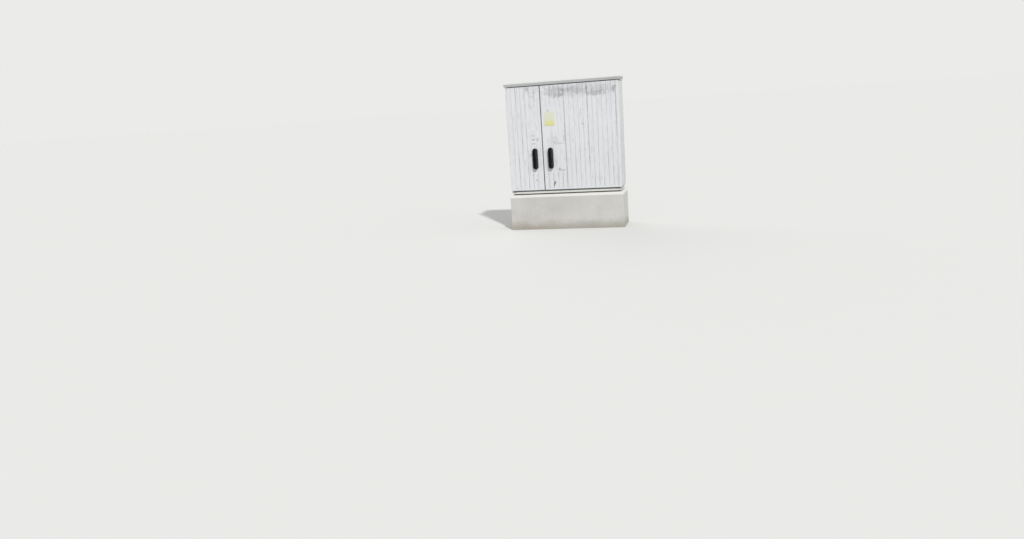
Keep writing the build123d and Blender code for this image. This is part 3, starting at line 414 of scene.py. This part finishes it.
# Faces turned up and to the right, and the right half of each handle, are painted lighter: a painted
# highlight.
sunward_highlight = fade(tree, sunward, 0.1, 0.9, 0.0, 0.85)
right_half_highlight = fade(tree, across, handle_middle, handle_shoulder, 0.0, 0.8)
painted_highlight = calc(tree, "MAXIMUM", sunward_highlight, right_half_highlight)
colour = tint(tree, painted_highlight, colour, srgb(58, 58, 59))
# The upper end of each handle is painted lighter: a painted highlight.
top_highlight_start = 0.77
top_highlight_end = 0.81
bleaching_and_highlight = calc(tree, "MULTIPLY", fade(tree, z, top_highlight_start, top_highlight_end), 0.3)
colour = tint(tree, bleaching_and_highlight, colour, srgb(40, 40, 41))
dust = fade(tree, grain(tree, 30.0, 5.0, 0.7), 0.55, 0.75)
colour = tint(tree, calc(tree, "MULTIPLY", dust, 0.12), colour, srgb(96, 93, 86))
feed(tree, colour, shader.inputs["Base Color"])
shader.inputs["Specular IOR Level"].default_value = 0.12
feed(tree, fade(tree, dust, 0.0, 1.0, 0.5, 0.75), shader.inputs["Roughness"])
relief(tree, shader, grain(tree, 900.0, 2.0), 0.00015, 0.5)
dress(
    handle_finish, "left_handle_base", "left_handle_lever", "right_handle_base", "right_handle_lever"
)


# Steel parts with a zinc coat. Mounting plate and rails, brackets, bolts and
# sockets were dipped hot, which leaves large dull crystals and white rust. The
# top-hat rail, rods, lock cases, pinions, pins and screws are plated, and finer.

crystals, given, result = new_group("zinc crystals", {"Scale": 90.0}, ["Shade", "Bloom"])
cells = crystals.nodes.new("ShaderNodeTexVoronoi")
crystals.links.new(given["Scale"], cells.inputs["Scale"])
crystals.links.new(object_place(crystals), cells.inputs["Vector"])
grey = crystals.nodes.new("ShaderNodeSeparateColor")
crystals.links.new(cells.outputs["Color"], grey.inputs[0])
crystals.links.new(grey.outputs[0], result["Shade"])
bloom = grain(crystals, 45.0, 5.0, 0.7)
crystals.links.new(fade(crystals, bloom, 0.56, 0.7), result["Bloom"])


def metal_finish(name, dark, light, tarnish, crystal_scale, roughness, bloom_amount):
    """A metal whose crystals vary between two shades, with a dull bloom in spots."""
    material, tree, shader = new_finish(name, roughness, 1.0)
    pattern = use_group(tree, crystals, Scale=crystal_scale)
    colour = tint(tree, pattern["Shade"], srgb(*dark), srgb(*light))
    bloomed = calc(tree, "MULTIPLY", pattern["Bloom"], bloom_amount)
    colour = tint(tree, bloomed, colour, srgb(*tarnish))
    feed(tree, colour, shader.inputs["Base Color"])
    bare = calc(tree, "SUBTRACT", 1.0, calc(tree, "MULTIPLY", bloomed, 0.6))
    feed(tree, bare, shader.inputs["Metallic"])
    sheen = fade(tree, pattern["Shade"], 0.0, 1.0, roughness - 0.06, roughness + 0.08)
    feed(tree, sheen, shader.inputs["Roughness"])
    relief(tree, shader, grain(tree, 600.0, 2.0), 0.0001, 0.3)
    return material


white_rust = (206, 206, 202)
zinc = metal_finish(
    "dipped zinc", dark=(168, 171, 174), light=(196, 198, 200), tarnish=white_rust,
    crystal_scale=120.0, roughness=0.38, bloom_amount=0.5,
)
dress(zinc, "plinth_sockets", "base_bolts", "hinge_brackets")
dress(zinc, "mounting_rails", "cable_rail", "mounting_plate")
plated = metal_finish(
    "bright zinc plate", dark=(194, 197, 200), light=(202, 204, 207), tarnish=white_rust,
    crystal_scale=2500.0, roughness=0.3, bloom_amount=0.3,
)
dress(plated, "roof_screws", "hinge_pins", "din_rail")
for side in ("left", "right"):
    for piece in ("handle_screws", "pinion", "lever_pin", "lock_case", "upper_rod", "lower_rod"):
        dress(plated, f"{side}_{piece}")


# Spindles and lock cylinders: steel spindles and brass profile cylinders with
# their rotors, blackened against weather. The coat is worn lighter and browner
# in scattered spots.

blackened = metal_finish(
    "blackened metal", dark=(44, 44, 47), light=(62, 62, 65), tarnish=(96, 90, 76),
    crystal_scale=500.0, roughness=0.42, bloom_amount=0.3,
)
for side in ("left", "right"):
    dress(blackened, f"{side}_spindle", f"{side}_lock_cylinder", f"{side}_key_rotor")


# Busbars and neutral bar: drawn flat copper, left bare, browned by air in
# clouds with brighter metal between.

copper = metal_finish(
    "bare copper", dark=(182, 116, 86), light=(196, 130, 96), tarnish=(104, 66, 52),
    crystal_scale=700.0, roughness=0.34, bloom_amount=0.8,
)
dress(copper, "busbars", "neutral_bar")


# Door seals: black cellular rubber profiles, pressed flat by the frames,
# matt, with a skin of fine pores and a film of chalky dust.

rubber, tree, shader = new_finish("seal rubber", 0.85)
dust = fade(tree, grain(tree, 24.0, 5.0, 0.7), 0.45, 0.75)
colour = tint(tree, calc(tree, "MULTIPLY", dust, 0.3), srgb(30, 30, 31), srgb(110, 108, 102))
feed(tree, colour, shader.inputs["Base Color"])
relief(tree, shader, grain(tree, 1200.0, 2.0), 0.0002, 0.5)
dress(rubber, "left_seal", "right_seal")


# Small plastic pieces inside: bushes, rod guides and cable clamps of natural
# nylon, the fuse strips, terminals, holders, breaker and toggle. Each is
# moulded with a fine matt grain, and dust has settled on all of them.

def moulded_finish(name, dark, light, roughness, dust_amount, grain_scale):
    """A moulded plastic between two shades, with settled dust."""
    material, tree, shader = new_finish(name, roughness)
    shade = use_group(tree, blotches, Large_scale=9.0, Fine_scale=90.0, Contrast=1.1)["Shade"]
    colour = tint(tree, shade, srgb(*dark), srgb(*light))
    dust = fade(tree, grain(tree, 20.0, 5.0, 0.65), 0.45, 0.75)
    colour = tint(tree, calc(tree, "MULTIPLY", dust, dust_amount), colour, srgb(172, 168, 156))
    feed(tree, colour, shader.inputs["Base Color"])
    feed(tree, fade(tree, dust, 0.0, 1.0, roughness, roughness + 0.2), shader.inputs["Roughness"])
    relief(tree, shader, grain(tree, grain_scale, 2.0), 0.0001, 0.4)
    return material


fuse_rails = [f"fuse_rail_{number}" for number in range(1, 5)]
nylon_pieces = ["cable_clamps"]
for side in ("left", "right"):
    nylon_pieces += [f"{side}_hinge_bushes", f"{side}_rod_guides"]
for name, dark, light, roughness, dust_amount, grain_scale, pieces in (
    ("natural nylon", (206, 200, 184), (224, 219, 206), 0.45, 0.15, 500.0, nylon_pieces),
    ("fuse strip plastic", (52, 54, 56), (68, 70, 72), 0.5, 0.2, 700.0, fuse_rails),
    ("busbar holder resin", (122, 44, 34), (142, 56, 42), 0.55, 0.2, 600.0, ["busbar_holders"]),
    ("fuse link steatite", (222, 214, 196), (236, 230, 216), 0.6, 0.12, 300.0, ["fuse_links"]),
    ("breaker plastic", (204, 206, 206), (218, 219, 219), 0.35, 0.12, 600.0, ["circuit_breaker"]),
    ("toggle plastic", (24, 24, 27), (36, 36, 39), 0.3, 0.1, 500.0, ["breaker_toggle"]),
    ("terminal plastic", (138, 141, 142), (154, 156, 157), 0.45, 0.15, 600.0, ["terminal_blocks"]),
):
    dress(moulded_finish(name, dark, light, roughness, dust_amount, grain_scale), *pieces)


# Blank plate on the right door, above the handle: a thin sheet of yellow
# plastic with round corners, riveted flat on the smooth field. The sun has
# bleached it nearly white, except along its lower third.

def round_over(mesh, edges, radius, segments):
    """Rounds edges to a radius."""
    bmesh.ops.bevel(
        mesh, geom=edges, offset=radius, offset_type="OFFSET", segments=segments, profile=0.5,
        affect="EDGES", material=-1,
    )


def finished(mesh, name):
    """Ends a bmesh as mesh data, with its faces outwards."""
    bmesh.ops.recalc_face_normals(mesh, faces=mesh.faces)
    data = bpy.data.meshes.new(name)
    mesh.to_mesh(data)
    mesh.free()
    return data


plate_low = Vector((-0.1770, 0, 1.0210))
plate_high = Vector((-0.0780, 0, 1.1570))
plate_thickness = 0.0012
corner_radius = 0.006
edge_radius = 0.0003
rivet_inset = 0.007
rivet_radius = 0.0024
rivet_rise = 0.45
mesh = bmesh.new()
middle = (plate_low + plate_high) / 2
size = plate_high - plate_low
place = Matrix.Translation((middle.x, front_face - plate_thickness / 2, middle.z))
stretch = Matrix.Diagonal((size.x, plate_thickness, size.z, 1))
bmesh.ops.create_cube(mesh, size=1.0, matrix=place @ stretch)
corners = [
    edge for edge in mesh.edges
    if abs((edge.verts[0].co - edge.verts[1].co).y) > plate_thickness / 2
]
round_over(mesh, corners, corner_radius, 6)
rim = [
    edge for edge in mesh.edges
    if all(vert.co.y < front_face - plate_thickness * 0.9 for vert in edge.verts)
]
round_over(mesh, rim, edge_radius, 2)
for x in (plate_low.x + rivet_inset, plate_high.x - rivet_inset):
    for z in (plate_low.z + rivet_inset, plate_high.z - rivet_inset):
        place = Matrix.Translation((x, front_face - plate_thickness, z))
        bmesh.ops.create_uvsphere(
            mesh, u_segments=16, v_segments=8, radius=rivet_radius,
            matrix=place @ Matrix.Diagonal((1, rivet_rise, 1, 1)),
        )
blank_plate = bpy.data.objects.new("blank_plate", finished(mesh, "blank_plate"))
bpy.context.collection.objects.link(blank_plate)
plate_finish, tree, shader = new_finish("faded yellow plastic", 0.4)
z = axes_of(tree)[2]
shade = use_group(tree, blotches, Large_scale=18.0, Fine_scale=140.0, Contrast=1.0)["Shade"]
colour = tint(tree, shade, srgb(216, 214, 146), srgb(226, 224, 164))
cloud = calc(tree, "MULTIPLY_ADD", grain(tree, 12.0, 4.0), 0.04, z)
yellow_top = plate_low.z + 0.045
bleached_foot = plate_low.z + 0.095
bleaching_and_highlight = fade(tree, cloud, yellow_top, bleached_foot, 0.0, 0.9)
colour = tint(tree, bleaching_and_highlight, colour, srgb(219, 221, 206))
grime_top = plate_low.z + 0.02
grime = calc(tree, "MULTIPLY", fade(tree, z, grime_top, plate_low.z), 0.3)
colour = tint(tree, grime, colour, srgb(190, 188, 160))
feed(tree, colour, shader.inputs["Base Color"])
feed(tree, fade(tree, shade, 0.2, 0.8, 0.34, 0.5), shader.inputs["Roughness"])
relief(tree, shader, grain(tree, 500.0, 2.0), 0.0001, 0.3)
blank_plate.data.materials.append(plate_finish)
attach(blank_plate, "right_door_leaf")


# Screws of the inner gear: zinc-plated hexagon heads on washers, which hold
# the rails, holders, bars and plate to what is behind them, and hold the lock
# case and rod guides to each door. The terminals have slotted clamp screws.

def add_round(mesh, sides, radius, low, high):
    """Adds a disc, or a hexagon, between two heights, and gives its points."""
    return bmesh.ops.create_cone(
        mesh, cap_ends=True, segments=sides, radius1=radius, radius2=radius, depth=high - low,
        matrix=Matrix.Translation((0, 0, (low + high) / 2)),
    )["verts"]


def hexagon_head():
    """A head of radius 1 on its washer, standing up from 0."""
    washer_top, washer_radius, washer_rounding = 0.25, 1.5, 0.06
    head_top, head_radius, head_rounding = 0.95, 1.0, 0.12
    mesh = bmesh.new()
    for sides, radius, low, high, rounding in (
        (24, washer_radius, 0.0, washer_top, washer_rounding),
        (6, head_radius, washer_top, head_top, head_rounding),
    ):
        points = add_round(mesh, sides, radius, low, high)
        upper = {point for point in points if point.co.z > (low + high) / 2}
        rim = [edge for edge in mesh.edges if upper.issuperset(edge.verts)]
        round_over(mesh, rim, rounding, 2)
    return finished(mesh, "hexagon head")


def slotted_head():
    """A round clamp screw of radius 1 with a straight slot; its shank reaches below 0."""
    shank, slot_floor, top, half_slot = -4.0, 0.3, 0.75, 0.16
    mesh = bmesh.new()
    add_round(mesh, 24, 1.0, shank, slot_floor)
    for side in (-1, 1):
        cheek = add_round(mesh, 24, 1.0, slot_floor, top)
        edges = {edge for point in cheek for edge in point.link_edges}
        faces = {face for point in cheek for face in point.link_faces}
        bmesh.ops.bisect_plane(
            mesh, geom=[*cheek, *edges, *faces], dist=0.0001, plane_co=(side * half_slot, 0, 0),
            plane_no=(side, 0, 0), clear_inner=True,
        )
    bmesh.ops.holes_fill(mesh, edges=[edge for edge in mesh.edges if edge.is_boundary], sides=0)
    return finished(mesh, "slotted head")


def set_screws(name, body, head, places, radius, out):
    """Sets a screw at each place, standing off its face to the front (-1) or the back (1)."""
    turn_between = 37
    mesh = bmesh.new()
    for index, (x, y, z) in enumerate(places):
        first = len(mesh.verts)
        mesh.from_mesh(head)
        facing = Matrix.Rotation(radians(-90 * out), 4, "X")
        turned = facing @ Matrix.Rotation(radians(turn_between * index), 4, "Z")
        place = Matrix.Translation((x, y, z)) @ turned @ Matrix.Scale(radius, 4)
        bmesh.ops.transform(mesh, matrix=place, verts=list(mesh.verts)[first:])
    screws = bpy.data.objects.new(name, finished(mesh, name))
    screws.data.materials.append(plated)
    bpy.context.collection.objects.link(screws)
    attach(screws, body)


hexagon = hexagon_head()
to_front, to_back = -1, 1

sheet_low, sheet_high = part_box("mounting_plate")
sheet_side_inset = 0.014
sheet_end_inset = 0.015
plate_corners = [
    (x, sheet_low.y, z)
    for x in (sheet_low.x + sheet_side_inset, sheet_high.x - sheet_side_inset)
    for z in (sheet_low.z + sheet_end_inset, sheet_high.z - sheet_end_inset)
]
set_screws("plate_screws", "cabinet", hexagon, plate_corners, radius=0.005, out=to_front)

rail_low, rail_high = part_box("mounting_rails")
rail_sheet = 0.0025
rail_half_width = 0.02
rail_end_inset = 0.015
rail_middles = (rail_low.x + rail_half_width, rail_high.x - rail_half_width)
rail_ends = [
    (x, rail_high.y - rail_sheet, z)
    for x in rail_middles
    for z in (rail_low.z + rail_end_inset, rail_high.z - rail_end_inset)
]
set_screws("rail_screws", "cabinet", hexagon, rail_ends, radius=0.0055, out=to_front)

holder_low, holder_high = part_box("busbar_holders")
holder_rise = 0.03
screw_rise = 0.025
bars_low, bars_high = holder_low.z + holder_rise, holder_high.z - holder_rise
holder_places = [
    (x, holder_low.y, z + side * screw_rise)
    for x in rail_middles
    for z in (bars_low, (bars_low + bars_high) / 2, bars_high)
    for side in (-1, 1)
]
set_screws("holder_screws", "cabinet", hexagon, holder_places, radius=0.0031, out=to_front)

neutral_low, neutral_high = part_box("neutral_bar")
neutral_places = [(x, neutral_low.y, (neutral_low.z + neutral_high.z) / 2) for x in rail_middles]
set_screws("neutral_bar_screws", "cabinet", hexagon, neutral_places, radius=0.006, out=to_front)

cable_low, cable_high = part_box("cable_rail")
cable_middle = (cable_low.z + cable_high.z) / 2
cable_places = [(x, cable_high.y - rail_sheet, cable_middle) for x in rail_middles]
set_screws("cable_rail_screws", "cabinet", hexagon, cable_places, radius=0.0055, out=to_front)

top_hat_low, top_hat_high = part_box("din_rail")
top_hat_sheet = 0.0015
top_hat_left_inset = 0.005
top_hat_right_inset = 0.02
top_hat_middle = (top_hat_low.z + top_hat_high.z) / 2
top_hat_places = [
    (x, top_hat_high.y - top_hat_sheet, top_hat_middle)
    for x in (top_hat_low.x + top_hat_left_inset, top_hat_high.x - top_hat_right_inset)
]
set_screws("din_rail_screws", "cabinet", hexagon, top_hat_places, radius=0.003, out=to_front)

terminal_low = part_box("terminal_blocks")[0]
terminal_count = 6
terminal_pitch = 0.015
clamp_offset = 0.017
clamp_sink = 0.0085
clamp_places = [
    (
        terminal_low.x + (step + 0.5) * terminal_pitch,
        terminal_low.y + clamp_sink,
        top_hat_middle + side * clamp_offset,
    )
    for step in range(terminal_count)
    for side in (-1, 1)
]
set_screws("terminal_screws", "cabinet", slotted_head(), clamp_places, radius=0.0034, out=to_front)

guides_from_spindle = {1: (0.097, 0.387), -1: (-0.053, -0.193)}
rod_offset = 0.019875
leg_offset = 0.00845
case_inset = 0.003
for side, hand in (("left", -1), ("right", 1)):
    leaf = f"{side}_door_leaf"
    case_low, case_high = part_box(f"{side}_lock_case")
    case_places = [
        (x, case_high.y, z)
        for x in (case_low.x + case_inset, case_high.x - case_inset)
        for z in (case_low.z + case_inset, case_high.z - case_inset)
    ]
    set_screws(f"{side}_case_screws", leaf, hexagon, case_places, radius=0.0018, out=to_back)
    spindle = (case_low + case_high) / 2
    guide_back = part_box(f"{side}_rod_guides")[1].y
    guide_places = [
        (spindle.x + hand * way * rod_offset + leg * leg_offset, guide_back, spindle.z + level)
        for way, levels in guides_from_spindle.items()
        for level in levels
        for leg in (-1, 1)
    ]
    set_screws(f"{side}_guide_screws", leaf, hexagon, guide_places, radius=0.0021, out=to_back)


# Floor: a wide pale plane at ground level. It shows paler to the camera than
# it lights the cabinet, and keeps the cabinet's shadow.

floor_reach = 150.0
mesh = bmesh.new()
bmesh.ops.create_grid(mesh, x_segments=1, y_segments=1, size=floor_reach)
floor_data = bpy.data.meshes.new("floor")
mesh.to_mesh(floor_data)
mesh.free()
floor = bpy.data.objects.new("floor", floor_data)
bpy.context.collection.objects.link(floor)
floor_finish, tree, shader = new_finish("pale floor", 0.9)
shader.inputs["Specular IOR Level"].default_value = 0.0
seen = tree.nodes.new("ShaderNodeLightPath").outputs["Is Camera Ray"]
lighting_tone = (0.41, 0.41, 0.40, 1)
seen_tone = (0.645, 0.645, 0.631, 1)
feed(tree, tint(tree, seen, lighting_tone, seen_tone), shader.inputs["Base Color"])
floor_data.materials.append(floor_finish)


# Light: a soft sun from above, in front and to the right, as in daylight, two
# wide weak ones from the right and from behind, and an even pale sky.

def sun(name, towards, strength, angle):
    """A far lamp in the direction given; a wide angle, in degrees, makes its shadows soft."""
    lamp = bpy.data.lights.new(name, "SUN")
    lamp.energy = strength
    lamp.angle = radians(angle)
    holder = bpy.data.objects.new(name, lamp)
    holder.rotation_euler = Vector(towards).to_track_quat("Z", "Y").to_euler()
    bpy.context.collection.objects.link(holder)


sun("main light", towards=(0.36, -0.58, 0.73), strength=2.35, angle=3.0)
sun("side light", towards=(0.95, -0.25, 0.35), strength=0.35, angle=60.0)
sun("back light", towards=(-0.6, 0.7, 0.45), strength=0.8, angle=60.0)
world = bpy.data.worlds.new("pale sky")
bpy.context.scene.world = world
world.use_nodes = True
tree = world.node_tree
sky = tree.nodes["Background"]
sky.inputs["Color"].default_value = (1.0, 1.0, 1.0, 1)
sky.inputs["Strength"].default_value = 0.58
backdrop = tree.nodes.new("ShaderNodeBackground")
backdrop.inputs["Color"].default_value = (0.83, 0.83, 0.815, 1)
rays = tree.nodes.new("ShaderNodeLightPath").outputs
direct = calc(tree, "MAXIMUM", rays["Is Camera Ray"], rays["Is Glossy Ray"])
direct = calc(tree, "MAXIMUM", direct, rays["Is Transmission Ray"])
chosen = tree.nodes.new("ShaderNodeMixShader")
tree.links.new(direct, chosen.inputs[0])
tree.links.new(sky.outputs[0], chosen.inputs[1])
tree.links.new(backdrop.outputs[0], chosen.inputs[2])
tree.links.new(chosen.outputs[0], tree.nodes["World Output"].inputs["Surface"])


# Camera: where the photograph was taken from, at chest height, a little to
# the right of the cabinet, looking down and tilted by a few degrees.

camera_data = bpy.data.cameras.new("camera")
camera_data.sensor_width = 36.0
camera_data.lens = 26.75
camera_data.clip_end = 500.0
camera = bpy.data.objects.new("camera", camera_data)
bpy.context.collection.objects.link(camera)
bpy.context.scene.camera = camera
turn, dip, tilt = radians(-15.4), radians(12.4), radians(-4.08)
up = Vector((0, 0, 1))
ahead = Vector((sin(turn), cos(turn), 0))
level = Vector((cos(turn), -sin(turn), 0))
look = cos(dip) * ahead - sin(dip) * up
above = sin(dip) * ahead + cos(dip) * up
right = cos(tilt) * level + sin(tilt) * above
top = cos(tilt) * above - sin(tilt) * level
view = Matrix((right, top, -look)).transposed().to_4x4()
camera_place = Vector((1.43, -7.562, 1.275))
camera.matrix_world = Matrix.Translation(camera_place) @ view
bpy.context.scene.view_settings.view_transform = "Standard"
